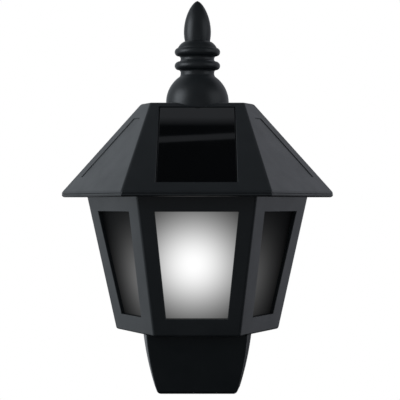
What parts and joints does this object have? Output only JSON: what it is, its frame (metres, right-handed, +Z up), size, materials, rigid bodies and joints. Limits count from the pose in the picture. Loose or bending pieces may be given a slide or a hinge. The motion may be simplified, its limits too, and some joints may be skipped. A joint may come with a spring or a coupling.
{
  "type": "solar wall light",
  "caption": "Half-lantern solar wall light: roof with sunk solar panel, turned finial, frosted windows, tapered tail with push button, flat back with keyholes.",
  "frame": {"origin": "on the wall face, midway between the centres of the two round keyhole entries", "axes": "+Z up; +Y into the wall, so -Y points at the viewer in front; +X to the right seen from the front"},
  "size_m": [0.1654, 0.0716, 0.2364],
  "materials": {
    "housing": "satin black, finely grained",
    "cover": "matte black",
    "panel_face": "clear gloss over black cells",
    "solar_cell": "smooth, near black",
    "frosted_front": "frosted white, lit from behind",
    "frosted_side": "frosted white, dimly lit",
    "reflector": "white gloss",
    "steel": "plated",
    "contact": "nickel plated",
    "seal": "soft foam",
    "tape": "adhesive foam",
    "circuit_board": "green resist",
    "white_board": "white resist",
    "light_chip": "yellow phosphor",
    "board_parts": "moulded black",
    "switch": "dark grey",
    "plunger": "off white",
    "button": "matte black",
    "cell_wrap": "plain green wrap",
    "wire": "insulated"
  },
  "bodies": {
    "lamp": {"roof_shell": "housing", "eave_plate": "housing", "eave_screws": "steel", "finial": "housing", "finial_plate": "cover", "finial_screw": "steel", "solar_tape": "tape", "solar_board": "circuit_board", "solar_cells": "solar_cell", "solar_laminate": "panel_face", "lantern_body": "housing", "front_pane": "frosted_front", "left_pane": "frosted_side", "right_pane": "frosted_side", "reflector_tray": "reflector", "tray_screws": "steel", "light_board": "white_board", "light_chips": "light_chip", "light_screws": "steel", "tail_shell": "housing", "switch_body": "switch", "rear_cover": "cover", "rear_gasket": "seal", "cover_screws": "steel", "battery_door": "cover", "door_seal": "seal", "door_screws": "steel", "battery_holder": "cover", "battery_cell": "cell_wrap", "battery_spring": "contact", "battery_contact": "contact", "control_board": "circuit_board", "control_parts": "board_parts", "control_screws": "steel", "panel_wires": "wire", "battery_wires": "wire", "light_wires": "wire", "switch_wires": "wire"},
    "button": {"switch_plunger": "plunger", "button_cap": "button"}
  },
  "joints": [
    {"name": "button_press", "type": "slide", "parent": "lamp", "child": "button", "axis": [0, 0, 1], "range_m": [0, 0.0016], "stiffness_N_per_m": 350, "springref_m": -0.001}
  ]
}
